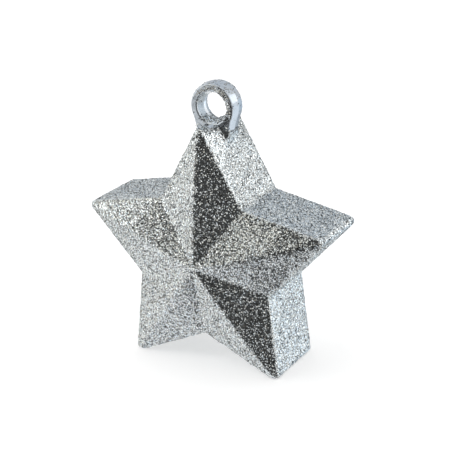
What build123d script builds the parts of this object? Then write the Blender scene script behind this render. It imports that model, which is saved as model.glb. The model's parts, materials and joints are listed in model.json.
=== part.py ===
from build123d import *
import math
import os

# Star-shaped balloon weight that stands on its two lower points.
# Frame: +Z up, +X to the viewer's right, -Y towards the viewer, origin on the floor between the feet.
# All sizes are in millimetres.

# Outside of the star, measured over its glitter coat
POINT_COUNT = 5
TIP_RADIUS = 41.5  # star centre to the sharp corner of a point, before rounding
VALLEY_RADIUS = 22.3  # star centre to the corner between two points
TIP_ROUND = 1.6
VALLEY_ROUND = 0.8
SIDE_DEPTH = 21.4  # front edge to rear edge of the side walls
PEAK_HEIGHT = 5.7  # middle of each face above its edges
FOOT_CUT = 0.4  # taken off the two lowest tips, so that they stand flat

# Layers, from the outside in
COAT_THICKNESS = 0.3
WALL = 2.0
CASTING_GAP = 0.2  # shrinkage of the cast core away from the shells

# Hanging ring, half of it on each shell
RING_SINK = 2.7  # how deep the ring's outside sits in the upper tip
RING_DEPTH = 6.2
RING_RADIUS = 7.2  # at the parting line
RING_DRAFT = 0.45  # how much less the outside is at the ring's faces
EYE_RADIUS = 3.9  # straight stretch of the eye at the parting line
EYE_LAND = 1.2  # length of that stretch
MOUTH_FLARE = 0.9  # how much wider the eye is at the ring's faces
RING_EDGE_ROUND = 0.6
NECK_DROP = 10.7  # ring's centre down to where the neck's sides run into the tip
NECK_STEP = 0.15  # how far those sides stay inside the ring's outside
BARE_MARGIN = 1.8  # bare strip of shell round the mouth of the eye

# Lap joint and locating pins between the shells
LIP_THICKNESS = 0.9
LIP_HEIGHT = 1.5
JOINT_GAP = 0.05
PIN_CIRCLE = 24.0  # star centre to each pin
PIN_RADIUS = 1.25
PIN_LENGTH = 4.5
PIN_END_GAP = 0.5
PIN_CHAMFER = 0.3
BOSS_WALL = 1.4

# Filling hole in the middle of the rear shell, and its plug
PLUG_HEAD_RADIUS = 6.5
PLUG_HEAD_THICKNESS = 2.4
PLUG_HEAD_ROUND = 0.7
PLUG_DISH_MARGIN = 1.8  # rim left round the dish in the head
PLUG_DISH_DEPTH = 0.5
SPIGOT_RADIUS = 4.95
SPIGOT_LENGTH = 5.5
SPIGOT_WALL = 1.3
SPIGOT_CHAMFER = 0.5
PLUG_FIT = 0.05
HEAD_CLEARANCE = 0.15
FILL_BOSS_WALL = 2.2
FILL_BOSS_OVERHANG = 0.5  # how far the hole's tube reaches past the spigot

# Worked out from the sizes above
half_sector = math.pi / POINT_COUNT
edge_run = TIP_RADIUS - VALLEY_RADIUS * math.cos(half_sector)
edge_rise = VALLEY_RADIUS * math.sin(half_sector)
tip_half_angle = math.atan2(edge_rise, edge_run)
edge_distance = TIP_RADIUS * math.sin(tip_half_angle)  # star centre to the line of every edge
facet_slope = PEAK_HEIGHT / edge_distance
peak_depth = SIDE_DEPTH / 2 + PEAK_HEIGHT
tip_arc_radius = TIP_RADIUS - TIP_ROUND / math.sin(tip_half_angle)
star_height = tip_arc_radius * math.cos(half_sector) + TIP_ROUND - FOOT_CUT
tip_reach = tip_arc_radius + TIP_ROUND  # star centre to the rounded end of a point
ring_height = star_height + tip_reach + RING_RADIUS - RING_SINK
mouth_radius = EYE_RADIUS + MOUTH_FLARE
neck_side = RING_RADIUS - NECK_STEP
neck_foot = (star_height + TIP_RADIUS - ring_height + NECK_DROP) * math.tan(tip_half_angle)
neck_lean = math.atan2(neck_foot, NECK_DROP) + math.acos(neck_side / math.hypot(neck_foot, NECK_DROP))
ring_draft_angle = math.degrees(math.atan2(RING_DRAFT, RING_DEPTH / 2))
cavity_inset = COAT_THICKNESS + WALL
seat_depth = peak_depth - PLUG_HEAD_THICKNESS
hole_radius = SPIGOT_RADIUS + PLUG_FIT
boss_radius = PIN_RADIUS + JOINT_GAP + BOSS_WALL
fill_boss_radius = hole_radius + FILL_BOSS_WALL
fill_boss_depth = seat_depth - SPIGOT_LENGTH - FILL_BOSS_OVERHANG

front_plane = Plane((0, 0, star_height), x_dir=(1, 0, 0), z_dir=(0, -1, 0))
rear_plane = Plane((0, 0, star_height), x_dir=(-1, 0, 0), z_dir=(0, 1, 0))
ring_axis = Axis((0, 0, ring_height), (0, 1, 0))
ring_plane = Plane((0, 0, ring_height), x_dir=(1, 0, 0), z_dir=(0, 0, 1))


def star_corners(scale):
    """Tip and valley corners in turn, starting at the upper tip."""
    corners = []
    for turn in range(2 * POINT_COUNT):
        radius = scale * (VALLEY_RADIUS if turn % 2 else TIP_RADIUS)
        angle = math.pi / 2 + turn * half_sector
        corners.append((radius * math.cos(angle), radius * math.sin(angle)))
    return corners


def inset_scale(inset):
    """All edges lie at one distance from the centre, so setting them in is a scaling."""
    return 1 - inset / edge_distance


def star_face(inset):
    """Star outline with rounded corners, set in from the outside of the coat."""
    face = make_face(Polyline(*star_corners(inset_scale(inset)), close=True))
    if TIP_ROUND > inset:
        tips = face.vertices().sort_by_distance((0, 0, 0))[-POINT_COUNT:]
        face = fillet(tips, TIP_ROUND - inset)
    valleys = face.vertices().sort_by_distance((0, 0, 0))[:POINT_COUNT]
    return fillet(valleys, VALLEY_ROUND + inset)


def facet_roof(inset):
    """Solid under the facets of the front, reaching past the outline on all sides."""
    overshoot = 1.25
    apex_depth = peak_depth - inset * math.hypot(1, facet_slope)
    reach = inset_scale(inset) * overshoot
    eaves_depth = apex_depth - reach * PEAK_HEIGHT
    base = [front_plane.from_local_coords((x, z, 0)) for x, z in star_corners(reach)]
    eaves = [front_plane.from_local_coords((x, z, eaves_depth)) for x, z in star_corners(reach)]
    apex = front_plane.from_local_coords((0, 0, apex_depth))
    faces = [Face(Wire.make_polygon(base))]
    for i in range(2 * POINT_COUNT):
        j = (i + 1) % (2 * POINT_COUNT)
        faces.append(Face(Wire.make_polygon([base[i], base[j], eaves[j], eaves[i]])))
        faces.append(Face(Wire.make_polygon([eaves[i], eaves[j], apex])))
    return Solid(Shell(faces))


def half_star(inset):
    """Front half of the star, from the parting plane to its facets."""
    prism = extrude(front_plane * star_face(inset), peak_depth)
    return prism & facet_roof(inset)


def in_front(sketch, start, end):
    """Solid of a sketch from one depth to another, in front of the parting plane."""
    return extrude(front_plane.offset(start) * sketch, end - start)


def behind(sketch, start, end):
    """Solid of a sketch from one depth to another, behind the parting plane."""
    return extrude(rear_plane.offset(start) * sketch, end - start)


def at_pins(sketch):
    """One copy of a sketch at each locating pin."""
    turns = [90 + i * 360 / POINT_COUNT for i in range(POINT_COUNT)]
    spots = [PolarLocations(PIN_CIRCLE, 1, start_angle=turn) for turn in turns]
    return Sketch() + [place * sketch for spot in spots for place in spot]


def half_ring():
    """Front half of the ring: drafted outside, flared eye and rounded front edges."""
    half = RING_DEPTH / 2
    outside = (RING_RADIUS - RING_DRAFT, -half)
    mouth = (mouth_radius, -half)
    profile = make_face(
        Polyline((EYE_RADIUS, 0), (RING_RADIUS, 0), outside, mouth, (EYE_RADIUS, -EYE_LAND / 2), close=True)
    )
    front_corners = profile.vertices().sort_by(Axis.Y)[:2]
    return revolve(ring_plane * fillet(front_corners, RING_EDGE_ROUND), ring_axis)


def neck_outline():
    """Web that widens the ring's root: straight sides from the ring down to the edges of the tip."""
    shoulder_x = neck_side * math.sin(neck_lean)
    shoulder_z = -neck_side * math.cos(neck_lean)
    corners = [(shoulder_x, shoulder_z), (neck_foot, -NECK_DROP), (-neck_foot, -NECK_DROP), (-shoulder_x, shoulder_z)]
    web = make_face(Polyline(*corners, close=True)) - Circle((mouth_radius + RING_RADIUS) / 2)
    return Pos(0, ring_height - star_height) * web


def half_neck():
    """Front half of the neck, drafted and rounded like the ring, and cut off at the cavity."""
    neck = extrude(front_plane * neck_outline(), RING_DEPTH / 2, taper=ring_draft_angle)
    front_edges = neck.faces().sort_by(Axis.Y)[0].edges()
    sides = [edge for edge in front_edges if abs(edge.tangent_at(0.5).Z) > 0.9]
    return fillet(sides, RING_EDGE_ROUND) - half_star(cavity_inset)


def eye_way():
    """Space of the eye and of the straight way into it over the tip, on the front side."""
    half = RING_DEPTH / 2
    profile = make_face(
        Polyline(
            (0, 0),
            (EYE_RADIUS, 0),
            (EYE_RADIUS, -EYE_LAND / 2),
            (mouth_radius, -half),
            (mouth_radius, -peak_depth),
            (0, -peak_depth),
            close=True,
        )
    )
    return revolve(ring_plane * profile, ring_axis)


def below_floor():
    """Everything under the floor, which the feet are cut off by."""
    block = Box(4 * TIP_RADIUS, 4 * peak_depth, 2 * TIP_RADIUS)
    return Pos(0, 0, -TIP_RADIUS) * block


def lap_band(outer_inset):
    """Star-shaped band inside the wall, from an inset to the cavity."""
    return star_face(outer_inset) - star_face(cavity_inset)


def plain_half_shell():
    """What both shells share, on the front side: hollow half star, pin bosses, half ring and its neck."""
    outside = half_star(COAT_THICKNESS)
    bosses = in_front(at_pins(Circle(boss_radius)), 0, peak_depth) & outside
    shell = outside - half_star(cavity_inset) + bosses + half_ring() + half_neck()
    return shell - eye_way() - below_floor()


def front_shell():
    """Half shell with the lip of the lap joint and a socket in each pin boss."""
    lip = behind(lap_band(cavity_inset - LIP_THICKNESS), 0, LIP_HEIGHT)
    sockets = in_front(at_pins(Circle(PIN_RADIUS + JOINT_GAP)), 0, PIN_LENGTH + PIN_END_GAP)
    return plain_half_shell() + lip - below_floor() - sockets


def rear_shell():
    """Half shell with the rebate of the lap joint, the pins and the filling hole."""
    outside = mirror(half_star(COAT_THICKNESS), about=Plane.XZ)
    tube = behind(Circle(fill_boss_radius), fill_boss_depth, peak_depth) & outside
    rebate = behind(lap_band(cavity_inset - LIP_THICKNESS - JOINT_GAP), 0, LIP_HEIGHT + JOINT_GAP)
    pins = in_front(at_pins(Circle(PIN_RADIUS)), 0, PIN_LENGTH)
    pin_ends = pins.faces().sort_by(Axis.Y)[:POINT_COUNT].edges()
    pins = chamfer(pin_ends, PIN_CHAMFER)
    shell = mirror(plain_half_shell(), about=Plane.XZ) + tube - rebate - fill_hole()
    return shell + pins


def fill_hole():
    """Space of the filling hole and of the seat for the plug's head."""
    hole = behind(Circle(hole_radius), 0, peak_depth)
    seat = behind(Circle(PLUG_HEAD_RADIUS + HEAD_CLEARANCE), seat_depth, 2 * peak_depth)
    return hole + seat


def filler_plug():
    """Stopper: dished head on its seat and a hollow spigot in the hole."""
    head = behind(Circle(PLUG_HEAD_RADIUS), seat_depth, peak_depth)
    head = fillet(head.faces().sort_by(Axis.Y)[-1].edges(), PLUG_HEAD_ROUND)
    dish = behind(Circle(PLUG_HEAD_RADIUS - PLUG_DISH_MARGIN), peak_depth - PLUG_DISH_DEPTH, peak_depth)
    spigot = behind(Circle(SPIGOT_RADIUS), seat_depth - SPIGOT_LENGTH, seat_depth)
    spigot = chamfer(spigot.faces().sort_by(Axis.Y)[0].edges(), SPIGOT_CHAMFER)
    bore = behind(Circle(SPIGOT_RADIUS - SPIGOT_WALL), seat_depth - SPIGOT_LENGTH, seat_depth)
    return head - dish + spigot - bore


def glitter_coat():
    """Skin of glitter over the joined shells, left off the ring, the tip under it and the plug."""
    front = half_star(0) - half_star(COAT_THICKNESS)
    coat = front + mirror(front, about=Plane.XZ)
    ring_space = ring_plane * Rot(90, 0, 0) * Cylinder(RING_RADIUS, RING_DEPTH)
    ring_space += in_front(neck_outline(), -RING_DEPTH / 2, RING_DEPTH / 2)
    bare_strip = ring_plane * Rot(90, 0, 0) * Cylinder(mouth_radius + BARE_MARGIN, 4 * peak_depth)
    seat = behind(Circle(PLUG_HEAD_RADIUS + HEAD_CLEARANCE), 0, 2 * peak_depth)
    return coat - ring_space - bare_strip - seat - below_floor()


def cast_core():
    """Ballast cast inside the joined shells, round their bosses and the filling hole's tube."""
    front = half_star(cavity_inset + CASTING_GAP)
    core = front + mirror(front, about=Plane.XZ)
    boss_space = at_pins(Circle(boss_radius + CASTING_GAP))
    core -= in_front(boss_space, -peak_depth, peak_depth)
    return core - behind(Circle(fill_boss_radius + CASTING_GAP), fill_boss_depth - CASTING_GAP, peak_depth)


PIECES = {
    "front_shell": front_shell,
    "rear_shell": rear_shell,
    "glitter_coat": glitter_coat,
    "cast_core": cast_core,
    "filler_plug": filler_plug,
}


def main():
    os.makedirs("parts", exist_ok=True)
    for name, make in PIECES.items():
        piece = make()
        export_step(piece, f"parts/{name}.step")
        print(f"{name}: {len(piece.solids())} solid, {piece.volume / 1000:.2f} cm3")
    print(f"star centre {star_height:.3f} mm and ring centre {ring_height:.3f} mm above the floor")
    print(f"plug face {peak_depth:.3f} mm behind the parting plane")


main()
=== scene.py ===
import json
import math

import bmesh
import bpy
from mathutils import Matrix, Vector


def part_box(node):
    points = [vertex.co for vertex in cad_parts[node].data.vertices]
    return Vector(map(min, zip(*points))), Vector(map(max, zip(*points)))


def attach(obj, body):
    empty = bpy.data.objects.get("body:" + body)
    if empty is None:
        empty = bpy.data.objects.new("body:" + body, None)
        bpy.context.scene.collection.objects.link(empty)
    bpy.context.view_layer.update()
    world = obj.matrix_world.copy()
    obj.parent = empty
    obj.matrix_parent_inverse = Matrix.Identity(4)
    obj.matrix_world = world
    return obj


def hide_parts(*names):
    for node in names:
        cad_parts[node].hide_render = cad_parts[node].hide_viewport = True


# Silver glitter star with a hanging ring: the moulded shells, the plug and the ballast come
# from the frame, and the glitter is made here as a coat with many small hexagonal flakes on it.

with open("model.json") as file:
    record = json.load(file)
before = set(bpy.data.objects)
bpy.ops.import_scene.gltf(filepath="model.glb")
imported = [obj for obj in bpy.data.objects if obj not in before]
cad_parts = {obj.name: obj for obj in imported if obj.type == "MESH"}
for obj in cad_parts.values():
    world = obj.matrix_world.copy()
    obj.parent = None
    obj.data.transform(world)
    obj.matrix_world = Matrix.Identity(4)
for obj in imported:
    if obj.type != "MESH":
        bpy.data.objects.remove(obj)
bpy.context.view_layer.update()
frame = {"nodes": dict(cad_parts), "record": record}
record = frame["record"]
plugLow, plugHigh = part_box("filler_plug")
starCentre = Vector((0, 0, (plugLow.z + plugHigh.z) / 2))  # the plug sits in the middle of the star
eyeMount = next(m for m in record["mounts"] if m["name"] == "hang_eye")
ringCentre = Vector(eyeMount["pos_m"])
mm = 0.001
print("frame loaded, star centre", round(starCentre.z / mm, 2), "mm up")


# small helpers

def newObject(name, mesh):
    obj = bpy.data.objects.new(name, mesh)
    bpy.context.scene.collection.objects.link(obj)
    return obj


def meshFromBmesh(name, bm):
    mesh = bpy.data.meshes.new(name)
    bm.to_mesh(mesh)
    bm.free()
    return mesh


def bakedMesh(obj, name):
    # the mesh as its modifiers leave it
    bpy.context.view_layer.update()
    graph = bpy.context.evaluated_depsgraph_get()
    mesh = bpy.data.meshes.new_from_object(obj.evaluated_get(graph))
    mesh.name = name
    return mesh


def fromAxis(place, centre):
    # distance from the axis through a centre from front to rear
    return math.hypot(place.x - centre.x, place.z - centre.z)


def dropObject(obj):
    mesh = obj.data
    bpy.data.objects.remove(obj)
    bpy.data.meshes.remove(mesh)


def addNode(tree, kind, **settings):
    node = tree.nodes.new(kind)
    for key, value in settings.items():
        setattr(node, key, value)
    return node


def emptyMaterial(name):
    material = bpy.data.materials.new(name)
    material.use_nodes = True
    tree = material.node_tree
    tree.nodes.clear()
    return material, tree, addNode(tree, "ShaderNodeOutputMaterial")


def newMaterial(name):
    material, tree, out = emptyMaterial(name)
    shader = addNode(tree, "ShaderNodeBsdfPrincipled")
    tree.links.new(shader.outputs["BSDF"], out.inputs["Surface"])
    return material, tree, shader


def setRamp(ramp, stops):
    elements = ramp.color_ramp.elements
    while len(elements) < len(stops):
        elements.new(0.5)
    for element, (place, colour) in zip(elements, stops):
        element.position = place
        element.color = (*colour, 1)


def setRange(node, side, limits):
    # the two ends of what a map range node takes in, From, or gives out, To
    node.inputs[side + " Min"].default_value, node.inputs[side + " Max"].default_value = limits


# materials

flakeFinish = {
    "roughness": 0.09,
    "tones": [  # share of the flakes up to the next entry, and their colour
        (0.0, (0.03, 0.032, 0.033)),
        (0.055, (0.42, 0.4, 0.36)),
        (0.11, (0.62, 0.66, 0.67)),
        (0.19, (0.86, 0.895, 0.895)),
        (0.64, (0.79, 0.865, 0.905)),
        (0.78, (0.895, 0.905, 0.865)),
        (0.9, (0.915, 0.945, 0.945)),
    ],
    "rimTones": [  # greyer, for the ring
        (0.0, (0.06, 0.06, 0.058)),
        (0.1, (0.3, 0.29, 0.265)),
        (0.4, (0.5, 0.51, 0.49)),
        (0.72, (0.7, 0.73, 0.73)),
        (0.95, (0.95, 0.97, 0.97)),
    ],
}


def flakeMaterial(name, tones):
    material, tree, shader = newMaterial(name)
    tone = addNode(tree, "ShaderNodeAttribute", attribute_name="flakeTone")
    ramp = addNode(tree, "ShaderNodeValToRGB")
    setRamp(ramp, tones)
    ramp.color_ramp.interpolation = "CONSTANT"
    tree.links.new(tone.outputs["Fac"], ramp.inputs["Fac"])
    tree.links.new(ramp.outputs["Color"], shader.inputs["Base Color"])
    shader.inputs["Metallic"].default_value = 1.0
    shader.inputs["Roughness"].default_value = flakeFinish["roughness"]
    return material


coatFinish = {
    "cellSize": 0.26 * mm,
    "tilt": 0.45,
    "roughness": (0.16, 0.4),
    "tones": [
        (0.0, (0.03, 0.031, 0.033)),
        (0.35, (0.17, 0.175, 0.18)),
        (0.7, (0.48, 0.5, 0.505)),
        (1.0, (0.74, 0.76, 0.76)),
    ],
}


def coatMaterial():
    # small cells, each with its own tone and tilt, so that it glints like flakes set in lacquer
    material, tree, shader = newMaterial("glitterLacquer")
    coords = addNode(tree, "ShaderNodeTexCoord")
    cells = addNode(tree, "ShaderNodeTexVoronoi", feature="F1", voronoi_dimensions="3D")
    cells.inputs["Scale"].default_value = 1 / coatFinish["cellSize"]
    tree.links.new(coords.outputs["Object"], cells.inputs["Vector"])
    split = addNode(tree, "ShaderNodeSeparateColor")
    tree.links.new(cells.outputs["Color"], split.inputs["Color"])
    ramp = addNode(tree, "ShaderNodeValToRGB")
    setRamp(ramp, coatFinish["tones"])
    tree.links.new(split.outputs["Red"], ramp.inputs["Fac"])
    tree.links.new(ramp.outputs["Color"], shader.inputs["Base Color"])
    rough = addNode(tree, "ShaderNodeMapRange")
    setRange(rough, "To", coatFinish["roughness"])
    tree.links.new(split.outputs["Green"], rough.inputs["Value"])
    tree.links.new(rough.outputs["Result"], shader.inputs["Roughness"])
    centred = addNode(tree, "ShaderNodeVectorMath", operation="SUBTRACT")
    centred.inputs[1].default_value = (0.5, 0.5, 0.5)
    tree.links.new(cells.outputs["Color"], centred.inputs[0])
    scaled = addNode(tree, "ShaderNodeVectorMath", operation="SCALE")
    scaled.inputs["Scale"].default_value = coatFinish["tilt"]
    tree.links.new(centred.outputs["Vector"], scaled.inputs[0])
    geometry = addNode(tree, "ShaderNodeNewGeometry")
    tilted = addNode(tree, "ShaderNodeVectorMath", operation="ADD")
    tree.links.new(geometry.outputs["Normal"], tilted.inputs[0])
    tree.links.new(scaled.outputs["Vector"], tilted.inputs[1])
    unit = addNode(tree, "ShaderNodeVectorMath", operation="NORMALIZE")
    tree.links.new(tilted.outputs["Vector"], unit.inputs[0])
    tree.links.new(unit.outputs["Vector"], shader.inputs["Normal"])
    shader.inputs["Metallic"].default_value = 1.0
    return material


plasticFinish = {
    "patchSize": 3.5 * mm,
    "patchDetail": 4,
    "pearlSize": 0.12 * mm,
    "pearlShare": 0.25,  # beside the flow marks
    "colours": [(0.3, (0.47, 0.515, 0.56)), (0.75, (0.56, 0.61, 0.66))],
    "eyePaintedLight": (0.86, 0.91, 0.95),  # painted light: the plastic inside the eye is coloured brighter, standing in for the light that falls in the bore
    "eyePaintedLightEdge": (5.0 * mm, 4.7 * mm),  # from the ring's axis, where the painted light starts and is whole
    "roughness": (0.16, 0.26),
    "metallic": 0.78,
    "coat": 0.6,
    "coatRoughness": 0.06,
    "ripple": 0.04,
}


def plasticMaterial():
    # silver-pigmented gloss plastic: cloudy flow marks, fine pearl and a faint moulded ripple, with
    # painted light inside the eye, a brighter colour there that stands in for light
    material, tree, shader = newMaterial("silverPlastic")
    coords = addNode(tree, "ShaderNodeTexCoord")
    patches = addNode(tree, "ShaderNodeTexNoise")
    patches.inputs["Scale"].default_value = 1 / plasticFinish["patchSize"]
    patches.inputs["Detail"].default_value = plasticFinish["patchDetail"]
    tree.links.new(coords.outputs["Object"], patches.inputs["Vector"])
    pearl = addNode(tree, "ShaderNodeTexVoronoi")
    pearl.inputs["Scale"].default_value = 1 / plasticFinish["pearlSize"]
    tree.links.new(coords.outputs["Object"], pearl.inputs["Vector"])
    pearlTone = addNode(tree, "ShaderNodeSeparateColor")
    tree.links.new(pearl.outputs["Color"], pearlTone.inputs["Color"])
    blend = addNode(tree, "ShaderNodeMath", operation="MULTIPLY_ADD")
    blend.inputs[1].default_value = plasticFinish["pearlShare"]
    tree.links.new(pearlTone.outputs["Red"], blend.inputs[0])
    tree.links.new(patches.outputs["Fac"], blend.inputs[2])
    ramp = addNode(tree, "ShaderNodeValToRGB")
    setRamp(ramp, plasticFinish["colours"])
    tree.links.new(blend.outputs["Value"], ramp.inputs["Fac"])
    away = addNode(tree, "ShaderNodeVectorMath", operation="SUBTRACT")
    away.inputs[1].default_value = ringCentre
    tree.links.new(coords.outputs["Object"], away.inputs[0])
    flat = addNode(tree, "ShaderNodeVectorMath", operation="MULTIPLY")
    flat.inputs[1].default_value = (1, 0, 1)
    tree.links.new(away.outputs["Vector"], flat.inputs[0])
    radius = addNode(tree, "ShaderNodeVectorMath", operation="LENGTH")
    tree.links.new(flat.outputs["Vector"], radius.inputs[0])
    # painted light: inside the eye the plastic takes a brighter colour, standing in for the light
    # in the bore
    inPaintedEyeLight = addNode(tree, "ShaderNodeMapRange")
    setRange(inPaintedEyeLight, "From", plasticFinish["eyePaintedLightEdge"])
    tree.links.new(radius.outputs["Value"], inPaintedEyeLight.inputs["Value"])
    withPaintedEyeLight = addNode(tree, "ShaderNodeMix", data_type="RGBA")
    withPaintedEyeLight.inputs["B"].default_value = (*plasticFinish["eyePaintedLight"], 1)
    tree.links.new(inPaintedEyeLight.outputs["Result"], withPaintedEyeLight.inputs["Factor"])
    tree.links.new(ramp.outputs["Color"], withPaintedEyeLight.inputs["A"])
    tree.links.new(withPaintedEyeLight.outputs["Result"], shader.inputs["Base Color"])
    rough = addNode(tree, "ShaderNodeMapRange")
    setRange(rough, "To", plasticFinish["roughness"])
    tree.links.new(patches.outputs["Fac"], rough.inputs["Value"])
    tree.links.new(rough.outputs["Result"], shader.inputs["Roughness"])
    bump = addNode(tree, "ShaderNodeBump")
    bump.inputs["Strength"].default_value = plasticFinish["ripple"]
    bump.inputs["Distance"].default_value = plasticFinish["patchSize"]
    tree.links.new(patches.outputs["Fac"], bump.inputs["Height"])
    tree.links.new(bump.outputs["Normal"], shader.inputs["Normal"])
    shader.inputs["Metallic"].default_value = plasticFinish["metallic"]
    shader.inputs["Coat Weight"].default_value = plasticFinish["coat"]
    shader.inputs["Coat Roughness"].default_value = plasticFinish["coatRoughness"]
    return material


mineralFinish = {
    "grainSize": 0.5 * mm,
    "grainDetail": 6,
    "colours": [(0.3, (0.42, 0.4, 0.37)), (0.7, (0.7, 0.68, 0.63))],
    "bump": 0.5,
    "roughness": 0.9,
}


def mineralMaterial():
    material, tree, shader = newMaterial("castMineral")
    coords = addNode(tree, "ShaderNodeTexCoord")
    grain = addNode(tree, "ShaderNodeTexNoise")
    grain.inputs["Scale"].default_value = 1 / mineralFinish["grainSize"]
    grain.inputs["Detail"].default_value = mineralFinish["grainDetail"]
    tree.links.new(coords.outputs["Object"], grain.inputs["Vector"])
    ramp = addNode(tree, "ShaderNodeValToRGB")
    setRamp(ramp, mineralFinish["colours"])
    tree.links.new(grain.outputs["Fac"], ramp.inputs["Fac"])
    tree.links.new(ramp.outputs["Color"], shader.inputs["Base Color"])
    bump = addNode(tree, "ShaderNodeBump")
    bump.inputs["Strength"].default_value = mineralFinish["bump"]
    bump.inputs["Distance"].default_value = mineralFinish["grainSize"]
    tree.links.new(grain.outputs["Fac"], bump.inputs["Height"])
    tree.links.new(bump.outputs["Normal"], shader.inputs["Normal"])
    shader.inputs["Roughness"].default_value = mineralFinish["roughness"]
    return material


flakes = flakeMaterial("silverFlakes", flakeFinish["tones"])
rimFlakes = flakeMaterial("rimFlakes", flakeFinish["rimTones"])
lacquer = coatMaterial()
plastic = plasticMaterial()
mineral = mineralMaterial()
for node, material in (
    ("front_shell", plastic),
    ("rear_shell", plastic),
    ("filler_plug", plastic),
    ("cast_core", mineral),
):
    mesh = frame["nodes"][node].data
    mesh.materials.clear()
    mesh.materials.append(material)
print("materials made")


# glitter coat

starForm = {
    "points": 5,
    "tipRadius": 41.5 * mm,
    "valleyRadius": 22.3 * mm,
    "tipRound": 1.6 * mm,
    "valleyRound": 0.8 * mm,
    "sideDepth": 21.4 * mm,
    "peakHeight": 5.7 * mm,
    "ridgeBow": 0.9 * mm,  # how far the ridges of the front bow out between the peak and the tips
    "footLift": 0.18 * mm,  # room for the lumps under the feet
    "roundSegments": 6,
    "voxel": 0.58 * mm,
    # turn of the voxel grid, so that none of its rows shows on a facet
    "gridTurn": Matrix.Rotation(math.radians(31), 4, Vector((1, 0.5, 0.8))),
    "softenPasses": 2,
    "softenFactor": 0.5,
    "lumpSize": 3.0 * mm,
    "lumpHeight": 0.16 * mm,
    "thickness": 0.3 * mm,
    "plugHoleRadius": 6.75 * mm,
    "plugHoleMiddle": 15 * mm,  # behind the star's centre
    "plugHoleLength": 14 * mm,
    "cutterSides": 64,
}
neckForm = {
    "topHalf": 5.95 * mm,
    "topDrop": 4.9 * mm,  # below the ring's centre
    "footHalf": 4.42 * mm,
    "footDrop": 10.7 * mm,
    "halfDepth": 3.1 * mm,
    "cover": 0.12 * mm,  # how far the glitter's skin stands off the neck
    "bareDrop": 6.6 * mm,  # the neck is bare down to here
    "bareHalfDepth": 3.45 * mm,
    "bareReach": 9 * mm,  # sideways and up from the ring's centre, past all of the neck
    "ridgeRadius": 5.2 * mm,  # round the ring's axis, where the ridge of the tip stays bare
    "ridgeHalfDepth": 6.6 * mm,
    # glitter thickens on the walls of the tip towards the neck, between these drops
    "rootTop": 4.9 * mm,
    "rootFoot": 15.0 * mm,
    "rootProud": 1.6 * mm,
    "rootHalfDepth": 9.5 * mm,
}


def addWedge(bm, topHalf, topDrop, footHalf, footDrop, fromDepth, toDepth, endHalf):
    # a block under the ring that tapers in width, with drops measured from the ring's centre
    corners = [
        (topHalf, -topDrop),
        (footHalf, -footDrop),
        (-footHalf, -footDrop),
        (-topHalf, -topDrop),
    ]
    verts = [bm.verts.new(ringCentre + Vector((x, fromDepth, z))) for x, z in corners]
    pulled = bmesh.ops.extrude_face_region(bm, geom=[bm.faces.new(verts)], use_keep_orig=True)
    endVerts = [g for g in pulled["geom"] if isinstance(g, bmesh.types.BMVert)]
    bmesh.ops.translate(bm, vec=(0, toDepth - fromDepth, 0), verts=endVerts)
    for vert in endVerts:
        if vert.co.z > ringCentre.z - (topDrop + footDrop) / 2:
            vert.co.x *= endHalf / topHalf


def addNeck(bm, tipHalf):
    # the web between the ring and the tip, as far as the glitter may climb on it
    grow = neckForm["cover"]
    topHalf, footHalf = neckForm["topHalf"] + grow, neckForm["footHalf"] + grow
    topDrop, footDrop = neckForm["topDrop"], neckForm["footDrop"]
    depth = neckForm["halfDepth"] + grow
    addWedge(bm, topHalf, topDrop, footHalf, footDrop, -depth, depth, topHalf)
    tipDrop = ringCentre.z - starCentre.z - starForm["tipRadius"]
    top, foot = neckForm["rootTop"], neckForm["rootFoot"]
    flushTop = (top - tipDrop) * math.tan(tipHalf)
    flushFoot = (foot - tipDrop) * math.tan(tipHalf)
    for depth in (-neckForm["rootHalfDepth"], neckForm["rootHalfDepth"]):
        addWedge(bm, flushTop + neckForm["rootProud"], top, flushFoot, foot, 0, depth, flushTop)


standUp = Matrix.Rotation(math.pi / 2, 3, "X")  # from lying flat to facing front and rear


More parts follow.
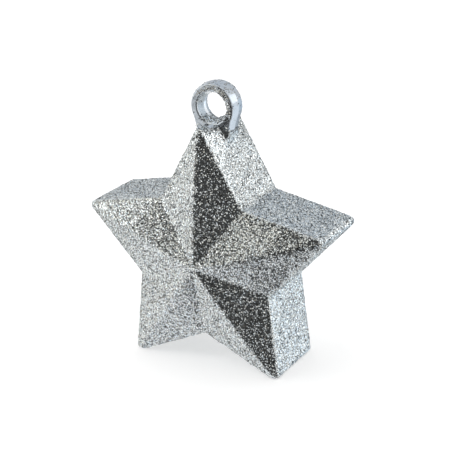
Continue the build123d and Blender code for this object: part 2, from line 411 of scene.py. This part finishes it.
def starBlank():
    # ten-cornered outline, pulled to a block and poked out to a peak on both faces
    halfSector = math.pi / starForm["points"]
    bm = bmesh.new()
    corners = 2 * starForm["points"]
    bmesh.ops.create_circle(bm, cap_ends=True, segments=corners, radius=starForm["tipRadius"])
    valleyScale = starForm["valleyRadius"] / starForm["tipRadius"]
    for vert in bm.verts:
        turn = round(math.atan2(vert.co.x, vert.co.y) / halfSector)
        if turn % 2:
            vert.co *= valleyScale
    bmesh.ops.rotate(bm, cent=(0, 0, 0), matrix=standUp, verts=bm.verts)
    toFront = Vector((0, -starForm["sideDepth"] / 2, 0))
    bmesh.ops.translate(bm, vec=starCentre + toFront, verts=bm.verts)
    pulled = bmesh.ops.extrude_face_region(bm, geom=bm.faces[:], use_keep_orig=True)
    rearVerts = [g for g in pulled["geom"] if isinstance(g, bmesh.types.BMVert)]
    bmesh.ops.translate(bm, vec=(0, starForm["sideDepth"], 0), verts=rearVerts)
    bmesh.ops.recalc_face_normals(bm, faces=bm.faces)
    caps = [f for f in bm.faces if len(f.verts) > 4]
    bmesh.ops.poke(bm, faces=caps, offset=starForm["peakHeight"])
    # round the corners that run from front to rear
    tipHalf = math.atan2(
        starForm["valleyRadius"] * math.sin(halfSector),
        starForm["tipRadius"] - starForm["valleyRadius"] * math.cos(halfSector),
    )
    valleyHalf = math.pi - halfSector - tipHalf
    halfDepth = starForm["sideDepth"] / 2
    runs = [e for e in bm.edges if abs((e.verts[0].co - e.verts[1].co).y) > halfDepth]
    middle = (starForm["tipRadius"] + starForm["valleyRadius"]) / 2
    tips = [e for e in runs if fromAxis(e.verts[0].co, starCentre) > middle]
    valleys = [e for e in runs if e not in tips]
    for edges, size, half in (
        (tips, starForm["tipRound"], tipHalf),
        (valleys, starForm["valleyRound"], valleyHalf),
    ):
        bmesh.ops.bevel(
            bm,
            geom=edges,
            offset=size / math.tan(half),
            offset_type="OFFSET",
            segments=starForm["roundSegments"],
            profile=0.5,
            affect="EDGES",
            clamp_overlap=False,
            material=-1,
        )
    # cut the two lower tips flat, to stand on
    bmesh.ops.bisect_plane(
        bm,
        geom=bm.verts[:] + bm.edges[:] + bm.faces[:],
        plane_co=(0, 0, starForm["footLift"]),
        plane_no=(0, 0, -1),
        clear_outer=True,
    )
    bmesh.ops.holes_fill(bm, edges=[e for e in bm.edges if e.is_boundary])
    addNeck(bm, tipHalf)
    bmesh.ops.recalc_face_normals(bm, faces=bm.faces)
    return meshFromBmesh("starBlank", bm)


def bowRidges(mesh):
    # the front's ridges bow out, and its valleys stay straight
    halfSector = math.pi / starForm["points"]
    for vert in mesh.vertices:
        height = (-vert.co.y - starForm["sideDepth"] / 2) / starForm["peakHeight"]
        if 0 < height < 1:
            turn = math.atan2(vert.co.x, vert.co.z - starCentre.z) / halfSector
            nearRidge = 1 - abs(turn - 2 * round(turn / 2))
            vert.co.y -= 4 * starForm["ridgeBow"] * nearRidge * height * (1 - height)
    mesh.update()


def softStar():
    # the star as the glitter leaves it: soft edges and a slightly lumpy skin
    blank = newObject("softStar", starBlank())
    blank.data.transform(starForm["gridTurn"])
    remesh = blank.modifiers.new("remesh", "REMESH")
    remesh.mode = "VOXEL"
    remesh.voxel_size = starForm["voxel"]
    remesh.use_smooth_shade = True
    soften = blank.modifiers.new("soften", "SMOOTH")
    soften.factor = starForm["softenFactor"]
    soften.iterations = starForm["softenPasses"]
    lumps = bpy.data.textures.new("coatLumps", "CLOUDS")
    lumps.noise_scale = starForm["lumpSize"]
    lumpy = blank.modifiers.new("lumps", "DISPLACE")
    lumpy.texture = lumps
    lumpy.texture_coords = "LOCAL"
    lumpy.mid_level = 0.5
    lumpy.strength = starForm["lumpHeight"]
    mesh = bakedMesh(blank, "softStar")
    mesh.transform(starForm["gridTurn"].inverted())
    bowRidges(mesh)
    dropObject(blank)
    return mesh


def rodCutter(name, radius, centre, length):
    bm = bmesh.new()
    bmesh.ops.create_cone(
        bm,
        cap_ends=True,
        segments=starForm["cutterSides"],
        radius1=radius,
        radius2=radius,
        depth=length,
    )
    bmesh.ops.rotate(bm, cent=(0, 0, 0), matrix=standUp, verts=bm.verts)
    bmesh.ops.translate(bm, vec=centre, verts=bm.verts)
    return newObject(name, meshFromBmesh(name, bm))


def boxCutter(name, low, high):
    bm = bmesh.new()
    bmesh.ops.create_cube(bm, size=1)
    bmesh.ops.scale(bm, vec=high - low, verts=bm.verts)
    bmesh.ops.translate(bm, vec=(low + high) / 2, verts=bm.verts)
    return newObject(name, meshFromBmesh(name, bm))


starSkin = softStar()
coatWork = newObject("coatWork", starSkin.copy())
skin = coatWork.modifiers.new("skin", "SOLIDIFY")
skin.thickness = starForm["thickness"]
skin.offset = -1
plugHole = starCentre + Vector((0, starForm["plugHoleMiddle"], 0))
reach, bareHalf = neckForm["bareReach"], neckForm["bareHalfDepth"]
cutters = [
    rodCutter("plugCutter", starForm["plugHoleRadius"], plugHole, starForm["plugHoleLength"]),
    rodCutter("ridgeCutter", neckForm["ridgeRadius"], ringCentre, 2 * neckForm["ridgeHalfDepth"]),
    boxCutter(
        "neckCutter",
        ringCentre - Vector((reach, bareHalf, neckForm["bareDrop"])),
        ringCentre + Vector((reach, bareHalf, reach)),
    ),
]
for cutter in cutters:
    cut = coatWork.modifiers.new("cut", "BOOLEAN")
    cut.operation = "DIFFERENCE"
    cut.solver = "EXACT"
    cut.object = cutter
coat = newObject("glitterCoat", bakedMesh(coatWork, "glitterCoat"))
coat.data.shade_flat()
for helper in [coatWork, *cutters]:
    dropObject(helper)
coat.data.materials.clear()
coat.data.materials.append(lacquer)
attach(coat, "star")
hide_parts("glitter_coat")
print("glitter coat made,", len(coat.data.polygons), "faces")


# flakes

flakeLayout = {
    "perArea": 16.5e6,  # flakes on a square metre
    "size": (0.13 * mm, 0.22 * mm),  # centre to corner
    "lift": (0.02 * mm, 0.1 * mm),
    "mostTilt": math.radians(36),
    "tiltPower": 1.7,  # more flakes lie nearly flat than stand up
    "fade": 1.3 * mm,  # how gently the cover thins out at a bare edge
    "plugSharper": 3,  # how much less gently round the plug
    "neckCover": 0.4,  # on the neck's front and rear
    "floorMargin": 0.35 * mm,
    "cellsAcross": 224,  # places for flakes across the bake map
    "cellFill": 0.4,  # centre to corner of a flake in its place
}


def randomValue(tree, low, high, seed):
    node = addNode(tree, "FunctionNodeRandomValue", data_type="FLOAT")
    node.inputs[2].default_value = low
    node.inputs[3].default_value = high
    node.inputs["Seed"].default_value = seed
    return node.outputs[1]


def flakeScatter(name, seed):
    # scatters six-sided flakes over a mesh, as thickly as its cover attribute says
    tree = bpy.data.node_groups.new(name, "GeometryNodeTree")
    tree.interface.new_socket("Geometry", in_out="INPUT", socket_type="NodeSocketGeometry")
    tree.interface.new_socket("Geometry", in_out="OUTPUT", socket_type="NodeSocketGeometry")
    source = addNode(tree, "NodeGroupInput")
    result = addNode(tree, "NodeGroupOutput")
    link = tree.links.new
    cover = addNode(tree, "GeometryNodeInputNamedAttribute", data_type="FLOAT")
    cover.inputs["Name"].default_value = "cover"
    density = addNode(tree, "ShaderNodeMath", operation="MULTIPLY")
    density.inputs[1].default_value = flakeLayout["perArea"]
    link(cover.outputs["Attribute"], density.inputs[0])
    spread = addNode(tree, "GeometryNodeDistributePointsOnFaces", distribute_method="RANDOM")
    spread.inputs["Seed"].default_value = seed
    link(source.outputs[0], spread.inputs["Mesh"])
    link(density.outputs[0], spread.inputs["Density"])
    # lift each flake off the skin
    lifted = addNode(tree, "ShaderNodeVectorMath", operation="SCALE")
    link(spread.outputs["Normal"], lifted.inputs[0])
    link(randomValue(tree, *flakeLayout["lift"], seed + 1), lifted.inputs["Scale"])
    place = addNode(tree, "GeometryNodeSetPosition")
    link(spread.outputs["Points"], place.inputs["Geometry"])
    link(lifted.outputs["Vector"], place.inputs["Offset"])
    # tilt it
    lean = addNode(tree, "ShaderNodeMath", operation="POWER")
    lean.inputs[1].default_value = flakeLayout["tiltPower"]
    link(randomValue(tree, 0, 1, seed + 2), lean.inputs[0])
    tilt = addNode(tree, "ShaderNodeMath", operation="MULTIPLY")
    tilt.inputs[1].default_value = flakeLayout["mostTilt"]
    link(lean.outputs[0], tilt.inputs[0])
    turn = addNode(tree, "ShaderNodeCombineXYZ")
    link(tilt.outputs[0], turn.inputs["X"])
    link(randomValue(tree, 0, 2 * math.pi, seed + 3), turn.inputs["Z"])
    euler = addNode(tree, "FunctionNodeEulerToRotation")
    link(turn.outputs["Vector"], euler.inputs["Euler"])
    leaning = addNode(tree, "FunctionNodeRotateRotation", rotation_space="LOCAL")
    link(spread.outputs["Rotation"], leaning.inputs["Rotation"])
    link(euler.outputs["Rotation"], leaning.inputs["Rotate By"])
    # the flake, of unit size, with its own small place on the bake map
    hexagon = addNode(tree, "GeometryNodeMeshCircle", fill_type="NGON")
    hexagon.inputs["Vertices"].default_value = 6
    hexagon.inputs["Radius"].default_value = 1
    corner = addNode(tree, "GeometryNodeInputPosition")
    shrink = addNode(tree, "ShaderNodeVectorMath", operation="SCALE")
    shrink.inputs["Scale"].default_value = flakeLayout["cellFill"] / flakeLayout["cellsAcross"]
    link(corner.outputs["Position"], shrink.inputs[0])
    local = addNode(tree, "GeometryNodeStoreNamedAttribute", data_type="FLOAT2", domain="CORNER")
    local.inputs["Name"].default_value = "OFBake"
    link(hexagon.outputs["Mesh"], local.inputs["Geometry"])
    link(shrink.outputs["Vector"], local.inputs["Value"])
    strewn = addNode(tree, "GeometryNodeInstanceOnPoints")
    link(place.outputs["Geometry"], strewn.inputs["Points"])
    link(local.outputs["Geometry"], strewn.inputs["Instance"])
    link(leaning.outputs["Rotation"], strewn.inputs["Rotation"])
    link(randomValue(tree, *flakeLayout["size"], seed + 4), strewn.inputs["Scale"])
    toned = addNode(tree, "GeometryNodeStoreNamedAttribute", data_type="FLOAT", domain="INSTANCE")
    toned.inputs["Name"].default_value = "flakeTone"
    link(strewn.outputs["Instances"], toned.inputs["Geometry"])
    link(randomValue(tree, 0, 1, seed + 5), toned.inputs["Value"])
    # which cell of the bake map it has
    index = addNode(tree, "GeometryNodeInputIndex")
    across = addNode(tree, "ShaderNodeMath", operation="MODULO")
    across.inputs[1].default_value = flakeLayout["cellsAcross"]
    link(index.outputs["Index"], across.inputs[0])
    row = addNode(tree, "ShaderNodeMath", operation="DIVIDE")
    row.inputs[1].default_value = flakeLayout["cellsAcross"]
    link(index.outputs["Index"], row.inputs[0])
    up = addNode(tree, "ShaderNodeMath", operation="FLOOR")
    link(row.outputs[0], up.inputs[0])
    cell = addNode(tree, "ShaderNodeCombineXYZ")
    link(across.outputs[0], cell.inputs["X"])
    link(up.outputs[0], cell.inputs["Y"])
    middle = addNode(tree, "ShaderNodeVectorMath", operation="ADD")
    middle.inputs[1].default_value = (0.5, 0.5, 0)
    link(cell.outputs["Vector"], middle.inputs[0])
    onMap = addNode(tree, "ShaderNodeVectorMath", operation="SCALE")
    onMap.inputs["Scale"].default_value = 1 / flakeLayout["cellsAcross"]
    link(middle.outputs["Vector"], onMap.inputs[0])
    celled = addNode(tree, "GeometryNodeStoreNamedAttribute")
    celled.data_type = "FLOAT_VECTOR"
    celled.domain = "INSTANCE"
    celled.inputs["Name"].default_value = "flakeCell"
    link(toned.outputs["Geometry"], celled.inputs["Geometry"])
    link(onMap.outputs["Vector"], celled.inputs["Value"])
    real = addNode(tree, "GeometryNodeRealizeInstances")
    link(celled.outputs["Geometry"], real.inputs["Geometry"])
    ownCell = addNode(tree, "GeometryNodeInputNamedAttribute", data_type="FLOAT_VECTOR")
    ownCell.inputs["Name"].default_value = "flakeCell"
    ownLocal = addNode(tree, "GeometryNodeInputNamedAttribute", data_type="FLOAT_VECTOR")
    ownLocal.inputs["Name"].default_value = "OFBake"
    spot = addNode(tree, "ShaderNodeVectorMath", operation="ADD")
    link(ownCell.outputs["Attribute"], spot.inputs[0])
    link(ownLocal.outputs["Attribute"], spot.inputs[1])
    mapped = addNode(tree, "GeometryNodeStoreNamedAttribute", data_type="FLOAT2", domain="CORNER")
    mapped.inputs["Name"].default_value = "OFBake"
    link(real.outputs["Geometry"], mapped.inputs["Geometry"])
    link(spot.outputs["Vector"], mapped.inputs["Value"])
    tidy = addNode(tree, "GeometryNodeRemoveAttribute")
    tidy.inputs["Name"].default_value = "flakeCell"
    link(mapped.outputs["Geometry"], tidy.inputs["Geometry"])
    link(tidy.outputs["Geometry"], result.inputs[0])
    return tree


def ramped(value, width):
    return min(1, max(0, value / width))


def coverAt(vert):
    # 1 where the glitter is whole, less on the neck, at the ridge and round the plug, 0 underneath
    place = vert.co
    fade = flakeLayout["fade"]
    away = place - ringCentre
    radius = math.hypot(away.x, away.z)
    fromNeck = max(abs(away.y) - neckForm["bareHalfDepth"], -away.z - neckForm["bareDrop"])
    fromRidge = max(abs(away.y) - neckForm["ridgeHalfDepth"], radius - neckForm["ridgeRadius"])
    cover = min(ramped(fromNeck, fade), ramped(fromRidge, fade))
    onFace = abs(vert.normal.y) > ringForm["rimLimit"]
    if fromNeck < 0 and onFace and radius > ringForm["profile"][-2][0]:
        cover = flakeLayout["neckCover"]
    if place.y > 0:
        fromPlug = fromAxis(place, starCentre) - starForm["plugHoleRadius"]
        cover = min(cover, ramped(fromPlug, fade / flakeLayout["plugSharper"]))
    return cover if place.z > flakeLayout["floorMargin"] else 0


def strewFlakes(name, skinMesh, coverOf, seed, material):
    work = newObject(name + "Work", skinMesh.copy())
    cover = work.data.attributes.new("cover", "FLOAT", "POINT")
    cover.data.foreach_set("value", [coverOf(v) for v in work.data.vertices])
    scatter = work.modifiers.new("scatter", "NODES")
    scatter.node_group = flakeScatter(name + "Scatter", seed)
    piece = newObject(name, bakedMesh(work, name))
    dropObject(work)
    piece.data.materials.clear()
    piece.data.materials.append(material)
    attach(piece, "star")
    print(name, len(piece.data.polygons), "flakes")


ringForm = {
    "profile": [  # radius and distance in front of the parting plane
        (3.9 * mm, 0.0 * mm),
        (3.9 * mm, 0.6 * mm),
        (4.66 * mm, 2.7 * mm),
        (4.87 * mm, 2.98 * mm),
        (5.22 * mm, 3.1 * mm),
        (6.22 * mm, 3.1 * mm),
        (6.6 * mm, 2.93 * mm),
        (6.83 * mm, 2.58 * mm),
        (7.2 * mm, 0.0 * mm),
    ],
    "steps": 72,  # round the ring
    "finer": 3,  # cuts in each edge of the profile
    "rimCover": 0.85,  # on the right, where the rim is covered whole
    "lipCover": 0.07,  # on the left
    "lipRadius": 5.75 * mm,  # the rim is nearly bare outside this, but for the right
    "lipFade": 0.4 * mm,
    "barest": math.radians(200),  # round from the right, over the top
    "bareGain": 1.6,  # how widely it is bare there
    "glint": math.radians(-62),  # where the edge of the eye is bare and catches the light; near the mouth this bare plastic also carries the painted light of the eye
    "glintHalf": math.radians(20),
    "boreCover": 0.75,  # at the bottom of the eye
    "boreDrop": 2.4 * mm,  # below the ring's centre, where that starts
    "boreFade": 1.2 * mm,
    "crestCover": 0.1,  # on the outside, over the top
    "strayCover": 0.03,
    "rimLimit": 0.6,  # of the normal along Y, on the rims
    "seed": 907,
}

sideLimit = 0.5  # of the normal along Y, between the faces and the side walls
flakeSheets = {  # seed, and what part of the star's skin it has
    "frontFlakes": (7, lambda v: v.normal.y < -sideLimit),
    "rearFlakes": (107, lambda v: v.normal.y > sideLimit),
    "leftSideFlakes": (207, lambda v: abs(v.normal.y) <= sideLimit and v.co.x < 0),
    "rightSideFlakes": (307, lambda v: abs(v.normal.y) <= sideLimit and v.co.x >= 0),
}
for name, (seed, belongs) in flakeSheets.items():
    strewFlakes(name, starSkin, lambda v: coverAt(v) if belongs(v) else 0, seed, flakes)


def ringOrder(face):
    # step round the ring, then angle round its section: flakes fall alike in a fixed order of faces
    place = face.calc_center_median()
    fullTurn = 2 * math.pi
    step = math.floor(math.atan2(place.z, place.x) / (fullTurn / ringForm["steps"]))
    middle = (ringForm["profile"][0][0] + ringForm["profile"][-1][0]) / 2
    return 2 * fullTurn * step + math.atan2(place.y, math.hypot(place.x, place.z) - middle)


def ringSkin():
    front = ringForm["profile"]
    loop = [(r, -y) for r, y in front] + [(r, y) for r, y in front[-2:0:-1]]
    bm = bmesh.new()
    verts = [bm.verts.new((r, y, 0)) for r, y in loop]
    edges = [bm.edges.new(pair) for pair in zip(verts, verts[1:] + verts[:1])]
    bmesh.ops.subdivide_edges(bm, edges=edges, cuts=ringForm["finer"])
    bmesh.ops.spin(
        bm,
        geom=bm.verts[:] + bm.edges[:],
        cent=(0, 0, 0),
        axis=(0, 1, 0),
        angle=2 * math.pi,
        steps=ringForm["steps"],
        use_merge=True,
    )
    bmesh.ops.recalc_face_normals(bm, faces=bm.faces)
    bm.faces.sort(key=ringOrder)
    bmesh.ops.translate(bm, vec=ringCentre, verts=bm.verts)
    return meshFromBmesh("ringSkin", bm)


def ringCoverAt(vert):
    # glitter on the flat rims and in the bottom of the eye, and a few strays elsewhere
    away = vert.co - ringCentre
    inTip = fromAxis(vert.co, starCentre) < starForm["tipRadius"] - starForm["tipRound"]
    if abs(vert.normal.y) > ringForm["rimLimit"]:
        if inTip and vert.co.x < 0:
            return 0
        pastLip = math.hypot(away.x, away.z) - ringForm["lipRadius"]
        angle = math.atan2(away.z, away.x)
        if pastLip < 0 and abs(angle - ringForm["glint"]) < ringForm["glintHalf"]:
            return 0
        left = 0.5 + 0.5 * math.cos(angle - ringForm["barest"])  # 1 where the rim is barest
        outer = ramped(pastLip, ringForm["lipFade"])
        share = min(1, ringForm["bareGain"] * left) * max(outer, left)
        return ringForm["rimCover"] + (ringForm["lipCover"] - ringForm["rimCover"]) * share
    if inTip:
        return 0
    inward = vert.normal.x * away.x + vert.normal.z * away.z < 0
    if inward and away.z < 0:
        low = ramped(-away.z - ringForm["boreDrop"], ringForm["boreFade"])
        return ringForm["boreCover"] * low + ringForm["strayCover"]
    return max(ringForm["strayCover"], ringForm["crestCover"] * vert.normal.z)


strewFlakes("ringFlakes", ringSkin(), ringCoverAt, ringForm["seed"], rimFlakes)


# stage: floor, studio and camera

floorForm = {
    "radius": 1.2,
    "sides": 64,
    "tone": 0.85,
    "fill": 0.42,  # what the camera sees on top of the light on it
}


def floorMaterial():
    # matte white paper, lifted a little for the camera so that it reads as white round the shadow
    material, tree, out = emptyMaterial("paleFloor")
    matte = addNode(tree, "ShaderNodeBsdfDiffuse")
    matte.inputs["Color"].default_value = (*[floorForm["tone"]] * 3, 1)
    path = addNode(tree, "ShaderNodeLightPath")
    lift = addNode(tree, "ShaderNodeMath", operation="MULTIPLY")
    lift.inputs[1].default_value = floorForm["fill"]
    tree.links.new(path.outputs["Is Camera Ray"], lift.inputs[0])
    fill = addNode(tree, "ShaderNodeEmission")
    tree.links.new(lift.outputs[0], fill.inputs["Strength"])
    paper = addNode(tree, "ShaderNodeAddShader")
    tree.links.new(matte.outputs["BSDF"], paper.inputs[0])
    tree.links.new(fill.outputs["Emission"], paper.inputs[1])
    tree.links.new(paper.outputs["Shader"], out.inputs["Surface"])
    return material


floorMesh = bmesh.new()
bmesh.ops.create_circle(
    floorMesh,
    cap_ends=True,
    segments=floorForm["sides"],
    radius=floorForm["radius"],
)
floor = newObject("floor", meshFromBmesh("floor", floorMesh))
floor.data.materials.append(floorMaterial())
floor.visible_glossy = False  # reflections see the white room all round, below the floor too


def direction(azimuth, elevation):
    # degrees round from the front towards the right, and up
    a, e = math.radians(azimuth), math.radians(elevation)
    return Vector((math.sin(a) * math.cos(e), -math.cos(a) * math.cos(e), math.sin(e)))


room = {
    "diffuseLight": 0.45,
    "zones": [  # direction, inner and outer angle in degrees, and tone
        (direction(-158, 32), 5, 50, (0.6, 0.65, 0.715)),  # cool and dim to the rear left
        (direction(-175, -14), 14, 38, (0.42, 0.47, 0.52)),  # and right behind
        (direction(-35, 35), 20, 60, (1, 0.985, 0.92)),  # warm in front, high up
        (direction(-15, -65), 15, 45, (0.95, 0.965, 1.0)),  # bluish in front, low down
    ],
}
screens = {  # degrees round from the front and up, as seen from the star's centre
    "tallScreen": {"across": (-15.2, 65), "upright": (-50, 75), "soft": 3, "tone": 0.06},
    "smallScreen": {"across": (-39.7, -26.2), "upright": (-5.5, 27.5), "soft": 2, "tone": 0.03},
    "brightCard": {"across": (-56, -39.7), "upright": (0, 22.5), "soft": 2, "tone": 1.9},
}
screenDome = {
    "distance": 300 * mm,
    "apart": 1 * mm,  # each screen is this much further away than the one before
    "steps": (96, 48),
    "margin": 7,  # degrees of mesh kept round each screen
}


def zoneLevel(tree, heading, towards, inner, outer):
    # 0 within the inner angle from a direction, rising to 1 at the outer angle
    dot = addNode(tree, "ShaderNodeVectorMath", operation="DOT_PRODUCT")
    dot.inputs[1].default_value = towards
    tree.links.new(heading, dot.inputs[0])
    angle = addNode(tree, "ShaderNodeMath", operation="ARCCOSINE")
    tree.links.new(dot.outputs["Value"], angle.inputs[0])
    level = addNode(tree, "ShaderNodeMapRange", interpolation_type="SMOOTHSTEP")
    setRange(level, "From", (math.radians(inner), math.radians(outer)))
    tree.links.new(angle.outputs["Value"], level.inputs["Value"])
    return level.outputs["Result"]


def studioWorld():
    # white for the camera, tinted zones for reflections, and a plain level for diffuse light
    world = bpy.data.worlds.new("studioWorld")
    bpy.context.scene.world = world
    world.use_nodes = True
    tree = world.node_tree
    tree.nodes.clear()
    link = tree.links.new
    out = addNode(tree, "ShaderNodeOutputWorld")
    path = addNode(tree, "ShaderNodeLightPath")
    coords = addNode(tree, "ShaderNodeTexCoord")
    plain = addNode(tree, "ShaderNodeBackground")
    strength = addNode(tree, "ShaderNodeMapRange")
    setRange(strength, "To", (room["diffuseLight"], 1))
    link(path.outputs["Is Camera Ray"], strength.inputs["Value"])
    link(strength.outputs["Result"], plain.inputs["Strength"])
    plain.inputs["Color"].default_value = (1, 1, 1, 1)
    mirrored = addNode(tree, "ShaderNodeBackground")
    shade = None
    for towards, inner, outer, tone in room["zones"]:
        tint = addNode(tree, "ShaderNodeValToRGB")
        setRamp(tint, [(0, tone), (1, (1, 1, 1))])
        level = zoneLevel(tree, coords.outputs["Generated"], towards, inner, outer)
        link(level, tint.inputs["Fac"])
        if shade is None:
            shade = tint.outputs["Color"]
            continue
        both = addNode(tree, "ShaderNodeVectorMath", operation="MULTIPLY")
        link(shade, both.inputs[0])
        link(tint.outputs["Color"], both.inputs[1])
        shade = both.outputs["Vector"]
    link(shade, mirrored.inputs["Color"])
    reflected = addNode(tree, "ShaderNodeMath", operation="ADD", use_clamp=True)
    link(path.outputs["Is Glossy Ray"], reflected.inputs[0])
    link(path.outputs["Is Transmission Ray"], reflected.inputs[1])
    choice = addNode(tree, "ShaderNodeMixShader")
    link(reflected.outputs[0], choice.inputs["Fac"])
    link(plain.outputs["Background"], choice.inputs[1])
    link(mirrored.outputs["Background"], choice.inputs[2])
    link(choice.outputs["Shader"], out.inputs["Surface"])


def bandLevel(tree, angle, limits, soft):
    # 1 between two angles, with soft ends
    low, high = limits
    levels = []
    for start, end in ((low - soft, low + soft), (high + soft, high - soft)):
        level = addNode(tree, "ShaderNodeMapRange", interpolation_type="SMOOTHSTEP")
        setRange(level, "From", (math.radians(start), math.radians(end)))
        tree.links.new(angle, level.inputs["Value"])
        levels.append(level.outputs["Result"])
    both = addNode(tree, "ShaderNodeMath", operation="MULTIPLY")
    tree.links.new(levels[0], both.inputs[0])
    tree.links.new(levels[1], both.inputs[1])
    return both.outputs[0]


def hangScreen(name, form, distance):
    # a piece of a dome in front, which only reflections see, fading out at its edge
    bm = bmesh.new()
    around, up = screenDome["steps"]
    bmesh.ops.create_uvsphere(bm, u_segments=around, v_segments=up, radius=distance)
    margin = screenDome["margin"]
    beyond = []
    for face in bm.faces:
        spot = face.calc_center_median().normalized()
        angles = math.degrees(math.atan2(spot.x, -spot.y)), math.degrees(math.asin(spot.z))
        for angle, limits in zip(angles, (form["across"], form["upright"])):
            if not limits[0] - margin < angle < limits[1] + margin:
                beyond.append(face)
                break
    bmesh.ops.delete(bm, geom=beyond, context="FACES")
    bmesh.ops.translate(bm, vec=starCentre, verts=bm.verts)
    screen = newObject(name, meshFromBmesh(name, bm))
    material, tree, out = emptyMaterial(name)
    link = tree.links.new
    coords = addNode(tree, "ShaderNodeTexCoord")
    away = addNode(tree, "ShaderNodeVectorMath", operation="SUBTRACT")
    away.inputs[1].default_value = starCentre
    link(coords.outputs["Object"], away.inputs[0])
    heading = addNode(tree, "ShaderNodeVectorMath", operation="NORMALIZE")
    link(away.outputs["Vector"], heading.inputs[0])
    parts = addNode(tree, "ShaderNodeSeparateXYZ")
    link(heading.outputs["Vector"], parts.inputs["Vector"])
    forward = addNode(tree, "ShaderNodeMath", operation="MULTIPLY")
    forward.inputs[1].default_value = -1
    link(parts.outputs["Y"], forward.inputs[0])
    azimuth = addNode(tree, "ShaderNodeMath", operation="ARCTAN2")
    link(parts.outputs["X"], azimuth.inputs[0])
    link(forward.outputs[0], azimuth.inputs[1])
    elevation = addNode(tree, "ShaderNodeMath", operation="ARCSINE")
    link(parts.outputs["Z"], elevation.inputs[0])
    level = addNode(tree, "ShaderNodeMath", operation="MULTIPLY")
    link(bandLevel(tree, azimuth.outputs[0], form["across"], form["soft"]), level.inputs[0])
    link(bandLevel(tree, elevation.outputs[0], form["upright"], form["soft"]), level.inputs[1])
    glow = addNode(tree, "ShaderNodeEmission")
    glow.inputs["Strength"].default_value = form["tone"]
    clear = addNode(tree, "ShaderNodeBsdfTransparent")
    fade = addNode(tree, "ShaderNodeMixShader")
    link(level.outputs[0], fade.inputs["Fac"])
    link(clear.outputs["BSDF"], fade.inputs[1])
    link(glow.outputs["Emission"], fade.inputs[2])
    link(fade.outputs["Shader"], out.inputs["Surface"])
    screen.data.materials.append(material)
    screen.visible_camera = False
    screen.visible_diffuse = False
    screen.visible_shadow = False
    screen.visible_transmission = False


studioWorld()
for number, (name, form) in enumerate(screens.items()):
    hangScreen(name, form, screenDome["distance"] + number * screenDome["apart"])

lampSet = {
    "overheadSoftbox": {
        "colour": (1, 1, 1),
        "at": (-0.1, 0.0, 0.75),
        "size": 1.4,
        "power": 4.0,
        "mirrored": False,
    },
    "rightSoftbox": {
        "colour": (0.5, 0.75, 1),
        "at": (0.45, 0.65, -0.3),
        "size": 0.8,
        "power": 0.65,
        "mirrored": True,
    },
    "windowCard": {
        "colour": (0.95, 0.98, 1),
        "at": (0.6, 0.46, 0.3),
        "size": 0.36,
        "power": 0.44,
        "mirrored": True,
    },
    "leftSoftbox": {
        "colour": (1, 1, 1),
        "at": (-0.7, -0.3, 0.35),
        "size": 0.6,
        "power": 1.5,
        "mirrored": False,
    },
}
for name, lamp in lampSet.items():
    light = bpy.data.lights.new(name, "AREA")
    light.size = lamp["size"]
    light.energy = lamp["power"]
    light.color = lamp["colour"]
    holder = bpy.data.objects.new(name, light)
    holder.location = lamp["at"]
    holder.visible_glossy = lamp["mirrored"]
    aim = starCentre - Vector(lamp["at"])
    holder.rotation_mode = "QUATERNION"
    holder.rotation_quaternion = aim.to_track_quat("-Z", "Y")
    bpy.context.scene.collection.objects.link(holder)
print("studio set")

photoView = {
    "azimuth": 30.1,
    "elevation": 21.0,
    "roll": -1.6,
    "distance": 406 * mm,
    "sensor": 36,  # in millimetres, as Blender counts it
    "focalPixels": 1380,
    "imagePixels": 450,
    "clip": (0.01, 20),
    "aimRight": 1.4 * mm,  # from the star's centre
    "aimUp": 7.39 * mm,
}


def photoCamera():
    data = bpy.data.cameras.new("photoCamera")
    data.sensor_width = photoView["sensor"]
    data.lens = data.sensor_width * photoView["focalPixels"] / photoView["imagePixels"]
    data.clip_start, data.clip_end = photoView["clip"]
    azimuth = math.radians(photoView["azimuth"])
    roll = math.radians(photoView["roll"])
    back = direction(photoView["azimuth"], photoView["elevation"])
    right = Vector((math.cos(azimuth), math.sin(azimuth), 0))
    up = back.cross(right)
    aim = starCentre + right * photoView["aimRight"] + up * photoView["aimUp"]
    rolledRight = right * math.cos(roll) + up * math.sin(roll)
    rolledUp = back.cross(rolledRight)
    camera = bpy.data.objects.new("photoCamera", data)
    turn = Matrix((rolledRight, rolledUp, back)).transposed()
    camera.matrix_world = Matrix.Translation(aim + back * photoView["distance"]) @ turn.to_4x4()
    bpy.context.scene.collection.objects.link(camera)
    bpy.context.scene.camera = camera


photoCamera()
bpy.context.scene.view_settings.view_transform = "Standard"
